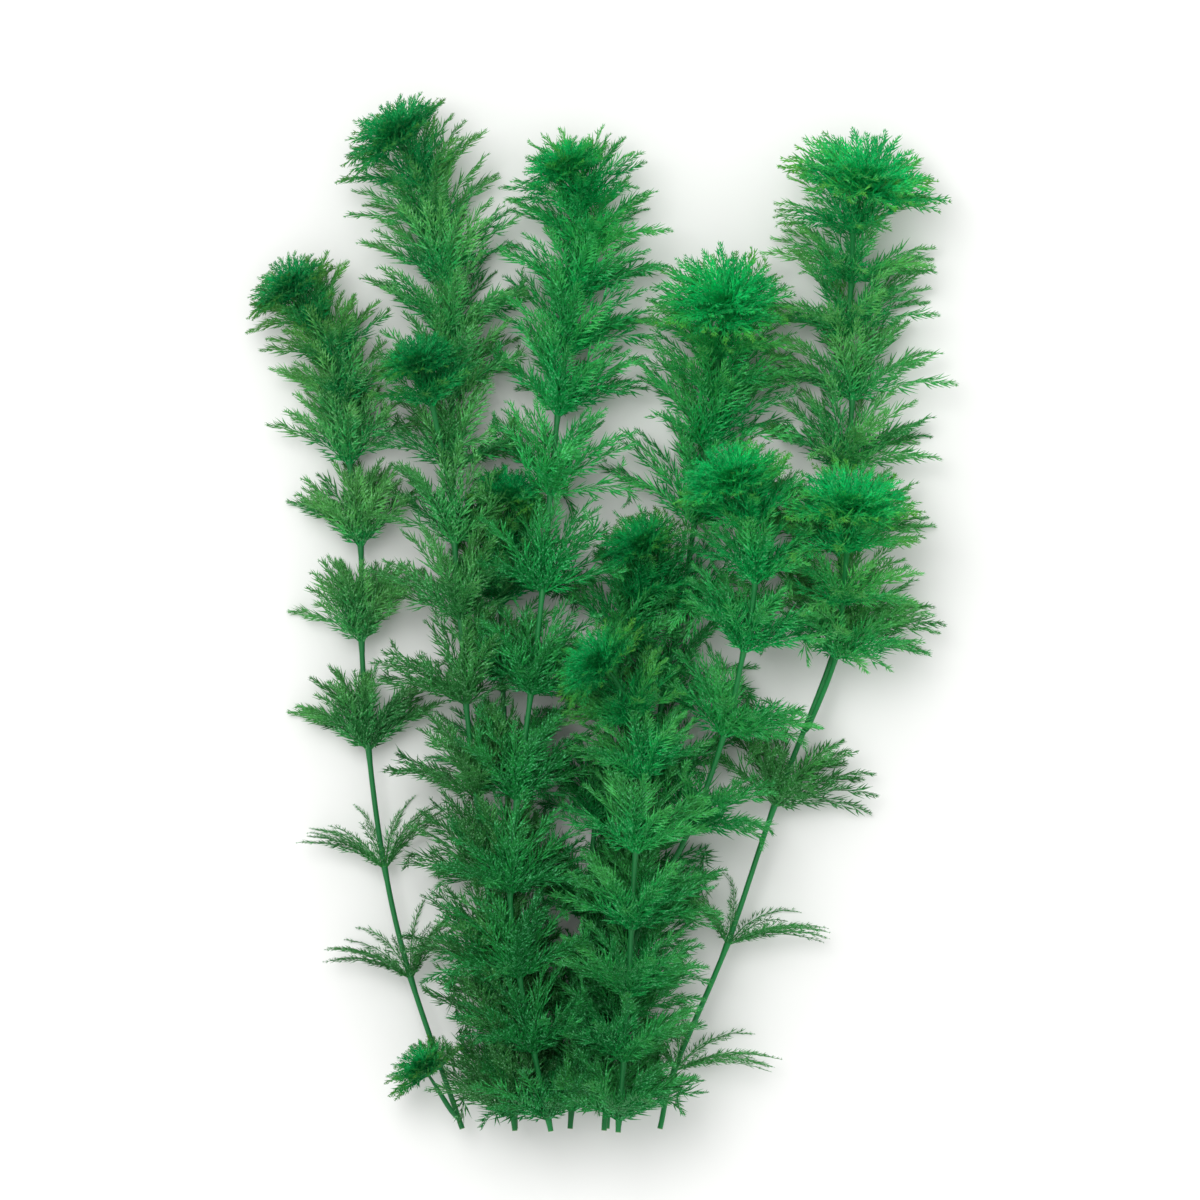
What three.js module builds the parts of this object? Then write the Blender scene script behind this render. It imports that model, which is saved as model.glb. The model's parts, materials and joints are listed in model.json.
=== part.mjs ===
// Giant ambulia: a cut bunch of leafy water-plant shoots that lies on a flat surface.
// Millimetres, +Z up from the surface, growing tips towards +Y, cut ends towards -Y.
// Each shoot is a stem with whorls of feather leaves round its nodes and a rosette at its tip.
import * as THREE from "three";

// Stems
const STEM_RADIUS = 1.6;
const SIDES = 6;
const NECK = 14;
const CURVE_STEPS = 40;

// Leaves, which leave the stem at one angle and arch over to another
const YOUNG_SHARE = 0.74;
const FULL_GROWN_AT = 90;
const OLD_AT = 300;
const ARCH = 22;
const LEAF_STEPS = 12;
const LEAF_THICKNESS = 1.2;
const LENGTH_SPREAD = 0.14;

// Lobes of a whorl, each a fan of a few leaves: where their clefts and crests lie along a leaf
const LOBES = 8;
const CLEFT_AT = 0.74;
const CREST_AT = 0.64;
const HUB_RADIUS = 2.3;
const HUB_HEIGHT = 1.8;

// Rosette at the tip of a shoot: an open outer cup, a steeper inner cup and a bud
const OUTER_CUP = { length: 1, angle: 88 };
const INNER_CUP = { length: 0.6, angle: 52 };
const INNER_CUP_RISE = 1.8;
const BUD_RADIUS = 2.6;
const BUD_HEIGHT = 6;
const BUD_TIP = 10;
const BUD_CLEARANCE = 2.6;

// Room between neighbouring shoots
const HALF_GAP = 1.1;
const ROSETTE_REACH = 42;
const FORK_HEIGHT = 20;

// Shoots, each with its stem's path from the tip down to the cut end or the fork, the heights of its
// nodes along Y, the length of its rosette's leaves and the spread of its leaves at the tip and the foot
const SHOOTS = [
  {
    name: "outer_left",
    path: [
      [-154, 164, 34], [-145, 151, 24], [-131.5, 132, 18], [-126.5, 106, 17], [-123, 74, 17],
      [-117.5, 33, 17], [-117, -15, 17], [-113.5, -69, 17], [-105.5, -128, 17], [-92.5, -183, 18],
      [-79, -219, 19], [-66.5, -259, 20],
    ],
    nodes: [143, 124, 101, 74, 33, -15, -69, -128, -183],
    free: 7,
    leaf: 47,
    rosette: 21,
    spread: [45, 60],
  },
  {
    name: "tall_left",
    path: [
      [-101, 240, 40], [-91.5, 226, 30], [-85, 213, 25], [-79.5, 191, 22], [-73, 151, 24],
      [-71.5, 94, 30], [-70.5, 40, 38], [-67, -6, 44], [-63.5, -55, 47], [-56, -116, 48],
      [-49.5, -179, 47], [-40, -259, 44],
    ],
    nodes: [211, 188, 163, 136, 106, 72, 34, -4, -46, -92, -136, -178, -217, -252],
    free: 5,
    leaf: 51,
    rosette: 27,
    spread: [48, 46],
  },
  {
    name: "side_left",
    parent: "tall_left",
    path: [[-89, 127, 64], [-84, 112, 53], [-78, 92, 44], [-74, 76, 40.5], [-73, 65, 38.3]],
    nodes: [103],
    free: 0,
    leaf: 42,
    rosette: 22,
    spread: [46, 46],
  },
  {
    name: "tall_middle",
    path: [
      [-16, 225, 40], [-9, 210, 29], [-5, 198, 24], [-4, 186, 22], [-9, 164, 22], [-13.5, 138, 24],
      [-18.5, 100, 32], [-24, 40, 44], [-27.5, -4, 51], [-32, -41, 56], [-39, -94, 61],
      [-42, -122, 63], [-41.5, -155, 63], [-34.5, -199, 59], [-26.5, -237, 54], [-22, -259, 52],
    ],
    nodes: [201, 180, 156, 128, 98, 58, 10, -41, -94, -140, -182, -220, -253],
    free: 5,
    leaf: 51,
    rosette: 23,
    spread: [54, 46],
  },
  {
    name: "right_middle",
    path: [
      [63.5, 156, 48], [63.5, 146, 35], [62.5, 133, 26], [60, 113, 22], [57.5, 90, 20],
      [52.5, 66, 19], [47.5, 26, 18], [40, -14, 18], [30, -64, 18], [17.5, -134, 18], [9, -194, 18],
      [6, -259, 18],
    ],
    nodes: [127, 106, 81, 44, 0, -44, -90, -134, -176, -216, -251],
    free: 4,
    leaf: 56,
    rosette: 35,
    spread: [61, 48],
  },
  {
    name: "tall_right",
    path: [
      [134, 215, 44], [130.5, 198, 31], [129, 183, 24], [128.5, 164, 20], [126.5, 138, 18],
      [129, 106, 17], [125.5, 81, 17], [123.5, 36, 16], [121.5, -14, 16], [116, -34, 16],
      [110, -49, 17], [98.5, -70, 17], [90, -97, 17], [77, -137, 17], [66.5, -166, 18],
      [52.5, -200, 19], [40, -229, 20], [32.5, -259, 21],
    ],
    nodes: [190, 165, 138, 106, 70, 28, -14, -97, -166, -229],
    free: 6,
    leaf: 50,
    rosette: 38,
    spread: [62, 54],
  },
  {
    name: "side_right",
    parent: "tall_right",
    path: [
      [127, 54, 70], [126.5, 41, 60], [125, 23, 52], [123.5, 4, 44], [121, -20, 33], [114, -41, 24],
      [108, -55, 20.6],
    ],
    nodes: [30, 4, -23],
    free: 0,
    leaf: 49,
    rosette: 34,
    spread: [66, 58],
  },
  {
    name: "inner_right",
    path: [
      [67.5, 68, 78], [73.5, 53, 66], [79, 38, 58], [80, 18, 54], [77.5, -3, 52], [70.5, -36, 50],
      [62.5, -68, 48], [51, -100, 46], [38.5, -126, 45], [25, -151, 44], [16.5, -176, 43],
      [8.5, -214, 42], [4.5, -259, 42],
    ],
    nodes: [42, 14, -20, -62, -108, -156, -204, -247],
    free: 3,
    leaf: 47,
    rosette: 29,
    spread: [54, 48],
  },
  {
    name: "low_front",
    path: [
      [0.5, -24, 94], [10, -33, 84], [16.5, -43, 77], [22, -62, 72], [24, -87, 70], [20.5, -116, 70],
      [19.5, -141, 70], [17, -173, 69], [16, -205, 68], [13, -237, 66], [11.5, -259, 66],
    ],
    nodes: [-54, -84, -120, -158, -192, -224, -253],
    free: 3,
    leaf: 45,
    rosette: 27,
    spread: [56, 48],
  },
  {
    name: "inner_middle",
    path: [
      [22.5, 36, 46], [27, 24, 36], [22.5, 8, 29], [14.5, -11, 26], [8.5, -44, 24], [2.5, -84, 22],
      [-2.5, -134, 20], [-7.5, -194, 19], [-12.5, -259, 18],
    ],
    nodes: [4, -18, -56, -104, -154, -204, -250],
    free: 2,
    leaf: 45,
    rosette: 25,
    spread: [54, 46],
  },
  {
    name: "inner_left",
    path: [
      [-42.5, 60, 40], [-45, 44, 29], [-46.5, 24, 23], [-47, -14, 20], [-45, -64, 19], [-43, -120, 18],
      [-42, -185, 18], [-40, -259, 18],
    ],
    nodes: [28, 4, -34, -86, -140, -194, -247],
    free: 1,
    leaf: 43,
    rosette: 24,
    spread: [57, 46],
  },
  {
    name: "foot_side",
    parent: "outer_left",
    path: [[-87, -226, 35], [-82, -234, 29], [-77, -241, 25.5], [-72.5, -249, 23.4]],
    nodes: [],
    free: 0,
    leaf: 20,
    rosette: 19,
    spread: [56, 56],
  },
];

// Finishes of the pieces
const green = (color, roughness) => new THREE.MeshStandardMaterial({ color, roughness, metalness: 0 });
const STEM_GREEN = green(0x14824a, 0.45);
const LEAF_GREEN = green(0x3c9640, 0.5);
const ROSETTE_GREEN = green(0x0f7a3c, 0.5);

const radians = THREE.MathUtils.degToRad;
const lerp = THREE.MathUtils.lerp;

// A fixed value from 0 to 1 for a place in the plant, in place of a random one
function chance(seed) {
  const value = Math.sin(seed * 12.9898) * 43758.5453;
  return value - Math.floor(value);
}

function seedOf(shoot, cup) {
  return 100 * SHOOTS.indexOf(shoot) + 10 * cup;
}

// Where a line of points, from the tip down, crosses the height y
function crossing(line, y) {
  for (let i = 1; i < line.length; i++) {
    const [above, below] = [line[i - 1], line[i]];
    if (y >= below.y) return above.clone().lerp(below, (above.y - y) / (above.y - below.y));
  }
  return line.at(-1).clone();
}

// A stem runs from its tip through a neck and its nodes to its foot, straight between them
for (const shoot of SHOOTS) {
  const points = shoot.path.map((point) => new THREE.Vector3(...point));
  const curve = new THREE.CatmullRomCurve3(points, false, "catmullrom", 0.5);
  const course = curve.getPoints(CURVE_STEPS * (points.length - 1));
  const neck = curve.getPointAt(NECK / curve.getLength());
  const nodes = shoot.nodes.map((y) => crossing(course, y));
  shoot.line = [points[0], neck, ...nodes, points.at(-1)];
}

// Where a shoot crosses the height y; above its tip its rosette keeps the neck's direction
function stemAt(shoot, y) {
  const [tip, neck] = shoot.line;
  if (y > tip.y + ROSETTE_REACH) return null;
  if (y > tip.y) return tip.clone().lerp(neck, (tip.y - y) / (tip.y - neck.y));
  if (shoot.parent && y < shoot.line.at(-1).y) return null;
  return crossing(shoot.line, y);
}

// Whether two shoots part at a fork so near below y that their leaves mingle there
function forked(shoot, other, y) {
  const side = other.parent === shoot.name ? other : shoot;
  const main = side === shoot ? other : shoot;
  return side.parent === main.name && y < side.line.at(-1).y + FORK_HEIGHT;
}

// Keeps a point of a shoot above the surface and on its own side of each neighbouring stem
function keepRoom(point, shoot) {
  const own = stemAt(shoot, point.y);
  for (let pass = 0; pass < 3 && own; pass++) {
    for (const other of SHOOTS) {
      const near = other === shoot || forked(shoot, other, point.y) ? null : stemAt(other, point.y);
      if (!near) continue;
      const away = own.clone().sub(near).setY(0).normalize();
      const middle = own.clone().add(near).multiplyScalar(0.5);
      const inside = point.clone().sub(middle).dot(away) - HALF_GAP;
      if (inside < 0) point.addScaledVector(away, -inside);
    }
    point.z = Math.max(point.z, 0);
  }
  return point;
}

// The course of a leaf: it arches out from the stem and lies along whatever stops it
function leafCourse(shoot, start, axis, out, length, angle) {
  const step = length / LEAF_STEPS;
  const course = [start.clone()];
  for (let i = 0; i < LEAF_STEPS; i++) {
    const bend = radians(angle - ARCH + (2 * ARCH * (i + 0.5)) / LEAF_STEPS);
    const point = course.at(-1);
    const aim = point.clone().addScaledVector(axis, step * Math.cos(bend));
    keepRoom(aim.addScaledVector(out, step * Math.sin(bend)), shoot);
    const next = point.clone().addScaledVector(aim.sub(point).normalize(), step);
    course.push(keepRoom(next, shoot));
  }
  return course;
}

function along(course, part) {
  const place = part * (course.length - 1);
  const i = Math.min(Math.floor(place), course.length - 2);
  return course[i].clone().lerp(course[i + 1], place - i);
}

// Directions round a stem, square to its axis, one for each side or lobe
function spokes(axis, count, turn) {
  const across = new THREE.Vector3(0, 0, 1).cross(axis).normalize();
  const upward = axis.clone().cross(across);
  return Array.from({ length: count }, (_, i) => {
    const angle = (2 * Math.PI * (i + turn)) / count;
    return across.clone().multiplyScalar(Math.cos(angle)).addScaledVector(upward, Math.sin(angle));
  });
}

// A ring of corners round an axis
function ring(centre, axis, radius, count) {
  return spokes(axis, count, -0.5).map((spoke) => centre.clone().addScaledVector(spoke, radius));
}

// A cup of leaves round an axis: one lobe for each few leaves, pointed at its tip and cleft between
function leafCup(shoot, centre, axis, radius, count, { length, angle, seed }) {
  const course = (spoke, reach) =>
    leafCourse(shoot, centre.clone().addScaledVector(spoke, radius), axis, spoke, reach, angle);
  const clefts = spokes(axis, count, -0.5).map((spoke) => along(course(spoke, length), CLEFT_AT));
  const leaves = spokes(axis, count, 0).map((spoke, i) =>
    course(spoke, length * (1 + LENGTH_SPREAD * (chance(seed + i) - 0.5))));
  return leaves.map((leaf, i) => {
    const tip = leaf.at(-1);
    const crest = along(leaf, CREST_AT);
    const across = clefts[(i + 1) % count].clone().sub(clefts[i]);
    const thick = tip.clone().sub(leaf[0]).cross(across).setLength(LEAF_THICKNESS / 2);
    return { cleft: clefts[i], tip, top: crest.clone().add(thick), under: crest.clone().sub(thick) };
  });
}

// A closed skin through rings of corners, given from the tip down. Between two rings it is a plain
// wall or a cup of leaves. It ends in a point or flat at the tip and flat at the foot, or, as a
// sleeve, runs back up through the middle.
function skin(rings, cups, point, sleeve) {
  const vertices = [];
  const faces = [];
  const put = (corner) => vertices.push(corner.x, corner.y, Math.max(corner.z, 0)) / 3 - 1;
  const ids = rings.map((corners) => corners.map(put));
  const count = ids[0].length;
  const foot = ids.at(-1);
  const apex = point && put(point);
  const turned = (i) => (i + 1) % count;
  cups.forEach((cup, level) => {
    const [a, b] = [ids[level], ids[level + 1]];
    const lobes = cup?.map((lobe) => ({
      cleft: put(lobe.cleft),
      tip: put(lobe.tip),
      top: put(lobe.top),
      under: put(lobe.under),
    }));
    for (let i = 0; i < count; i++) {
      const j = turned(i);
      if (!lobes) {
        faces.push(a[i], b[i], b[j], a[i], b[j], a[j]);
        continue;
      }
      const { cleft, tip, top, under } = lobes[i];
      const next = lobes[j].cleft;
      faces.push(a[i], cleft, top, a[i], top, a[j], a[j], top, next, cleft, tip, top, top, tip, next);
      faces.push(b[i], under, cleft, b[i], b[j], under, b[j], next, under);
      faces.push(cleft, under, tip, under, next, tip);
    }
  });
  for (let i = 0; i < count; i++) {
    const j = turned(i);
    if (sleeve) faces.push(ids[0][i], ids[0][j], foot[j], ids[0][i], foot[j], foot[i]);
    if (apex) faces.push(ids[0][i], ids[0][j], apex);
    if (sleeve || i === 0 || j === 0) continue;
    if (!apex) faces.push(ids[0][0], ids[0][i], ids[0][j]);
    faces.push(foot[0], foot[j], foot[i]);
  }
  const geometry = new THREE.BufferGeometry();
  geometry.setAttribute("position", new THREE.Float32BufferAttribute(vertices, 3));
  geometry.setIndex(faces);
  return geometry;
}

// The leaves at one node of a shoot, which lengthen and change their spread down the stem
function whorlSpec(shoot, index) {
  const below = shoot.line[0].y - shoot.nodes[index];
  return {
    length: shoot.leaf * lerp(YOUNG_SHARE, 1, Math.min(below / FULL_GROWN_AT, 1)),
    angle: lerp(...shoot.spread, Math.min(below / OLD_AT, 1)),
    seed: seedOf(shoot, index),
  };
}

// The stem's direction towards the tip at a point of its line
function growth(line, i) {
  return line[i - 1].clone().sub(line[Math.min(i + 1, line.length - 1)]).normalize();
}

// The upper and lower end of a hub
function hubEnds(centre, axis) {
  return [0.5, -0.5].map((part) => centre.clone().addScaledVector(axis, part * HUB_HEIGHT));
}

// A whorl of its own is a sleeve that stands clear of the stem
function whorl(shoot, index) {
  const place = index + 2;
  const axis = growth(shoot.line, place);
  const node = shoot.line[place];
  const rings = hubEnds(node, axis).map((end) => ring(end, axis, HUB_RADIUS, LOBES));
  const cup = leafCup(shoot, node, axis, HUB_RADIUS, LOBES, whorlSpec(shoot, index));
  return skin(rings, [cup], null, true);
}

// A stem carries the whorls that are not pieces of their own between pairs of its rings
function stem(shoot) {
  const { line } = shoot;
  const downward = line[1].clone().sub(line[0]).normalize();
  const top = line[0].clone().addScaledVector(downward, BUD_CLEARANCE);
  const rings = [ring(top, downward.negate(), STEM_RADIUS, SIDES)];
  const cups = [];
  for (let i = 1; i < line.length; i++) {
    const axis = growth(line, i);
    const index = i - 2;
    const fused = index >= shoot.free && index < shoot.nodes.length;
    cups.push(null);
    if (!fused) {
      rings.push(ring(line[i], axis, STEM_RADIUS, SIDES));
      continue;
    }
    rings.push(...hubEnds(line[i], axis).map((end) => ring(end, axis, STEM_RADIUS, SIDES)));
    cups.push(leafCup(shoot, line[i], axis, STEM_RADIUS, SIDES, whorlSpec(shoot, index)));
  }
  return skin(rings, cups);
}

// The rosette's cups spread round a bud that stands on the end of the stem
function rosette(shoot) {
  const [tip, neck] = shoot.line;
  const axis = tip.clone().sub(neck).normalize();
  const at = (height) => tip.clone().addScaledVector(axis, height);
  const ends = [...hubEnds(at(INNER_CUP_RISE), axis), hubEnds(tip, axis)[1]];
  const rings = [at(BUD_HEIGHT), ...ends].map((end) => ring(end, axis, BUD_RADIUS, SIDES));
  const cups = [INNER_CUP, OUTER_CUP].map((cup, i) => {
    const centre = at(i === 0 ? INNER_CUP_RISE : 0);
    const length = shoot.rosette * cup.length;
    const spec = { length, angle: cup.angle, seed: seedOf(shoot, shoot.nodes.length + i) };
    return leafCup(shoot, centre, axis, BUD_RADIUS, SIDES, spec);
  });
  return skin(rings, [null, ...cups], at(BUD_TIP));
}

// The bunch
function named(name, geometry, material) {
  const mesh = new THREE.Mesh(geometry, material);
  mesh.name = name;
  return mesh;
}

const bunch = new THREE.Group();
for (const shoot of SHOOTS) {
  bunch.add(named(`${shoot.name}_stem`, stem(shoot), STEM_GREEN));
  bunch.add(named(`${shoot.name}_rosette`, rosette(shoot), ROSETTE_GREEN));
  for (let index = 0; index < shoot.free; index++) {
    bunch.add(named(`${shoot.name}_whorl_${index + 1}`, whorl(shoot, index), LEAF_GREEN));
  }
}

export default bunch;
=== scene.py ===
"""Looks of a cut bunch of giant ambulia that lies on a pale floor and is seen from above.

Each shoot has a round stem, whorls of finely divided leaves at its nodes and a crown of young
leaves at its tip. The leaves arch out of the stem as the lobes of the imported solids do, and
Geometry Nodes set fine needles along them. The shoots are measured in millimetres, everything
that Blender gets is in metres.
"""

import json
import math

import bpy
import numpy as np
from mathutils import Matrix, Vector

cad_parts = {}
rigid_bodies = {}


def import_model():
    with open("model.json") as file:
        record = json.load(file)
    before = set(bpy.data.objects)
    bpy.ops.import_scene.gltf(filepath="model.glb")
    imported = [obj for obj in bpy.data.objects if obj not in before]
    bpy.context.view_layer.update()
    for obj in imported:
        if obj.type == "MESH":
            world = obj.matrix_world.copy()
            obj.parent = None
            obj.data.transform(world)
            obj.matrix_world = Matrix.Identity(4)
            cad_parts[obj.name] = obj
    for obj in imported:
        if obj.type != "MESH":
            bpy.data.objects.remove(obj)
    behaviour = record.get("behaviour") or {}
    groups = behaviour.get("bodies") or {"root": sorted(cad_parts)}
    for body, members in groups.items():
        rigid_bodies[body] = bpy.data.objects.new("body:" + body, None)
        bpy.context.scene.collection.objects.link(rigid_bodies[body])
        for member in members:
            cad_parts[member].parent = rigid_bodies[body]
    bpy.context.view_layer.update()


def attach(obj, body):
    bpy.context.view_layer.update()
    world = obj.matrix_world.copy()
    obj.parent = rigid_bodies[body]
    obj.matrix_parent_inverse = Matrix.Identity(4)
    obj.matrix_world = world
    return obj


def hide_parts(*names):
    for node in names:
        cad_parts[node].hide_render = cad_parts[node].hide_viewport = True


bl_info = {
    "name": "Giant ambulia bunch",
    "version": (1, 0, 0),
    "blender": (4, 5, 0),
    "location": "3D View > Sidebar > Ambulia",
    "description": "Builds a cut bunch of feathery aquarium plant shoots round its packed solids",
    "category": "Object",
}

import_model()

MM = 0.001
BODY = "root"

# The numbers are millimetres, degrees or shares, unless their comment says otherwise.

# The stems: how far below the tip the neck is, a stem's share of its girth at the tip and over
# what length it gains a whole girth, how far a node's swelling and a bud reach, how deep a side
# stem's root goes into its parent, how deep the pale cut is, and the steps of a span of a course
NECK = 14
TIP_GIRTH = 0.25
GIRTH_RISE = 26
NODE_REACH = 2.6
BUD_HEIGHT = 1
ROOT_DEPTH = 5.0
CUT_DEPTH = 0.5
PATH_STEPS = 40
STALK_STEPS = 8

# The leaves: the steps of a course, a young leaf's share of the full length, where down the stem
# a leaf is full-grown and where old, how far a leaf bends, how much the lengths of leaves differ
# and how far they turn from even places, how much they gather at the stem's sides, how far out of
# the stem's middle they start, and their least height over the floor
LEAF_STEPS = 12
YOUNG_SHARE = 0.74
FULL_GROWN_AT = 90
OLD_AT = 300
ARCH = 22
LENGTH_SPREAD = 0.14
TURN_SPREAD = 0.35
GATHER = 0.4
WHORL_START = 1.2
FLOOR_GAP = 0.6

# How many degrees the leaves of a whorl differ, and which share of that is towards the tip
FREE_FAN = 58
LOWER_FAN = 50
YOUNG_LEAN = 0.64
OLD_LEAN = 0.46

# The whorls near the cut ends, below this place along Y
LEAFY_FOOT = -240
FOOT_LEAN = 0.3

# The slender whorls: narrow leaves that differ little, gather at the sides and stand further out
SLENDER_FAN = 12
SLENDER_WIDTH = 0.5
SLENDER_GATHER = 0.9
SLENDER_OUT = 10

# What keeps shoots apart: how far a crown reaches past its tip, how far above a fork two shoots
# still mingle, and how often a leaf is moved clear of all its neighbours
CROWN_REACH = 42
FORK_HEIGHT = 20
ROOM_PASSES = 3

# Seeds: how far those of two shoots and of two rings of leaves are apart
SHOOT_SEEDS = 100
RING_SEEDS = 31

# The shoots, on the paths of the solids: a path from tip to foot, the places of the nodes along
# Y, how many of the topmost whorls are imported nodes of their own, the lengths of a full-grown
# leaf and of a crown leaf, the leaves' spread from the stem when young and old, how bright and how
# deep a green the shoot is, how many of its lowest whorls are slender, and, on a loose shoot in
# the middle of the bunch, how many degrees the leaves of a lower whorl differ; such a whorl has
# one leaf more
SHOOTS = [
    {
        "name": "outer_left",
        "path": [
            (-154, 164, 34), (-145, 151, 24), (-131.5, 132, 18), (-126.5, 106, 17), (-123, 74, 17),
            (-117.5, 33, 17), (-117, -15, 17), (-113.5, -69, 17), (-105.5, -128, 17),
            (-92.5, -183, 18), (-79, -219, 19), (-66.5, -259, 20),
        ],
        "nodes": [143, 124, 101, 74, 33, -15, -69, -128, -183],
        "free": 7, "leaf": 43, "crown": 24, "spread": (44, 47),
        "bright": 0.35, "deep": 0.1, "slender": 2,
    },
    {
        "name": "tall_left",
        "path": [
            (-101, 240, 40), (-91.5, 226, 30), (-85, 213, 25), (-79.5, 191, 22), (-73, 151, 24),
            (-71.5, 94, 30), (-70.5, 40, 38), (-67, -6, 44), (-63.5, -55, 47), (-56, -116, 48),
            (-49.5, -179, 47), (-40, -259, 44),
        ],
        "nodes": [211, 188, 163, 136, 106, 72, 34, -4, -46, -92, -136, -178, -217, -252],
        "free": 5, "leaf": 51, "crown": 29, "spread": (48, 46), "bright": 0.45, "deep": 0.3,
        "loose": 66,
    },
    {
        "name": "side_left", "parent": "tall_left",
        "path": [(-89, 127, 64), (-84, 112, 53), (-78, 92, 44), (-74, 76, 40.5), (-73, 65, 38.3)],
        "nodes": [103],
        "free": 0, "leaf": 42, "crown": 22, "spread": (46, 46), "bright": 0.4, "deep": 0.5,
    },
    {
        "name": "tall_middle",
        "path": [
            (-16, 225, 40), (-9, 210, 29), (-5, 198, 24), (-4, 186, 22), (-9, 164, 22),
            (-13.5, 138, 24), (-18.5, 100, 32), (-24, 40, 44), (-27.5, -4, 51), (-32, -41, 56),
            (-39, -94, 61), (-42, -122, 63), (-41.5, -155, 63), (-34.5, -199, 59),
            (-26.5, -237, 54), (-22, -259, 52),
        ],
        "nodes": [201, 180, 156, 128, 98, 58, 10, -41, -94, -140, -182, -220, -253],
        "free": 5, "leaf": 51, "crown": 23, "spread": (54, 46), "bright": 0.75, "deep": 1.0,
        "loose": 72,
    },
    {
        "name": "right_middle",
        "path": [
            (63.5, 156, 48), (63.5, 146, 35), (62.5, 133, 26), (60, 113, 22), (57.5, 90, 20),
            (52.5, 66, 19), (47.5, 26, 18), (40, -14, 18), (30, -64, 18), (17.5, -134, 18),
            (9, -194, 18), (6, -259, 18),
        ],
        "nodes": [127, 106, 81, 44, 0, -44, -90, -134, -176, -216, -251],
        "free": 4, "leaf": 57, "crown": 35, "spread": (61, 48), "bright": 0.85, "deep": 0.9,
        "loose": 72,
    },
    {
        "name": "tall_right",
        "path": [
            (134, 215, 44), (130.5, 198, 31), (129, 183, 24), (128.5, 164, 20), (126.5, 138, 18),
            (129, 106, 17), (125.5, 81, 17), (123.5, 36, 16), (121.5, -14, 16), (116, -34, 16),
            (110, -49, 17), (98.5, -70, 17), (90, -97, 17), (77, -137, 17), (66.5, -166, 18),
            (52.5, -200, 19), (40, -229, 20), (32.5, -259, 21),
        ],
        "nodes": [190, 165, 138, 106, 70, 28, -14, -97, -166, -229],
        "free": 6, "leaf": 50, "crown": 41, "spread": (62, 55),
        "bright": 1.0, "deep": 0.25, "slender": 2,
    },
    {
        "name": "side_right", "parent": "tall_right",
        "path": [
            (127, 54, 70), (126.5, 41, 60), (125, 23, 52), (123.5, 4, 44), (121, -20, 33),
            (114, -41, 24), (108, -55, 20.6),
        ],
        "nodes": [30, 4, -23],
        "free": 0, "leaf": 46, "crown": 34, "spread": (66, 52), "bright": 0.95, "deep": 0.4,
    },
    {
        "name": "inner_right",
        "path": [
            (67.5, 68, 78), (73.5, 53, 66), (79, 38, 58), (80, 18, 54), (77.5, -3, 52),
            (70.5, -36, 50), (62.5, -68, 48), (51, -100, 46), (38.5, -126, 45), (25, -151, 44),
            (16.5, -176, 43), (8.5, -214, 42), (4.5, -259, 42),
        ],
        "nodes": [42, 14, -20, -62, -108, -156, -204, -247],
        "free": 3, "leaf": 47, "crown": 29, "spread": (54, 48), "bright": 0.9, "deep": 0.8,
    },
    {
        "name": "low_front",
        "path": [
            (0.5, -24, 94), (10, -33, 84), (16.5, -43, 77), (22, -62, 72), (24, -87, 70),
            (20.5, -116, 70), (19.5, -141, 70), (17, -173, 69), (16, -205, 68), (13, -237, 66),
            (11.5, -259, 66),
        ],
        "nodes": [-54, -84, -120, -158, -192, -224, -253],
        "free": 3, "leaf": 45, "crown": 27, "spread": (56, 48), "bright": 0.4, "deep": 0.8,
    },
    {
        "name": "inner_middle",
        "path": [
            (22.5, 36, 46), (27, 24, 36), (22.5, 8, 29), (14.5, -11, 26), (8.5, -44, 24),
            (2.5, -84, 22), (-2.5, -134, 20), (-7.5, -194, 19), (-12.5, -259, 18),
        ],
        "nodes": [4, -18, -56, -104, -154, -204, -250],
        "free": 2, "leaf": 45, "crown": 25, "spread": (54, 46), "bright": 0.4, "deep": 0.9,
        "loose": 80,
    },
    {
        "name": "inner_left",
        "path": [
            (-42.5, 60, 40), (-45, 44, 29), (-46.5, 24, 23), (-47, -14, 20), (-45, -64, 19),
            (-43, -120, 18), (-42, -185, 18), (-40, -259, 18),
        ],
        "nodes": [28, 4, -34, -86, -140, -194, -247],
        "free": 1, "leaf": 44, "crown": 24, "spread": (57, 46), "bright": 0.4, "deep": 0.65,
        "loose": 80,
    },
    {
        "name": "foot_side", "parent": "outer_left",
        "path": [(-87, -226, 35), (-82, -234, 29), (-77, -241, 25.5), (-72.5, -249, 23.4)],
        "nodes": [],
        "free": 0, "leaf": 20, "crown": 21, "spread": (56, 56), "bright": 0.4, "deep": 0.6,
    },
]

# The tiers of a crown: how many leaves, their share of the crown leaf's length, their angle from
# the stem and how far past the tip they start
CROWN_TIERS = [
    (31, 1.0, 86, -8.0), (25, 0.86, 68, -6.5), (15, 0.66, 50, -5.0), (7, 0.4, 32, -3.5),
    (5, 0.22, 16, -2.0),
]

# The crowns: how much more upright the leaves are that face up, how far a leaf bends and differs,
# how far out it starts, the length at which its segments have their full size, and the power of a
# tier's share that says how ripe its leaves' ends are
CROWN_LIFT = 42
CROWN_ARCH = 14
CROWN_FAN = 16
CROWN_START = 1.0
CROWN_LEAF = 36
CROWN_RIPENING = 2.2

# A segment: its needles from start to end, where a needle is broadest and how high its ridge is,
# as shares of its length and of its width
SEGMENT_NEEDLES = [((0, 0, 0), (1, 0, 0)), ((0.24, 0, 0), (0.76, 0.2, 0.05))]
NEEDLE_BELLY = 0.42
NEEDLE_RIDGE = 0.45

# The length of the segments along a leaf, as a curve
LEAF_OUTLINE = [(0.0, 0.35), (0.1, 0.8), (0.35, 1.0), (0.65, 0.88), (0.9, 0.5), (1.0, 0.22)]

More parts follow.
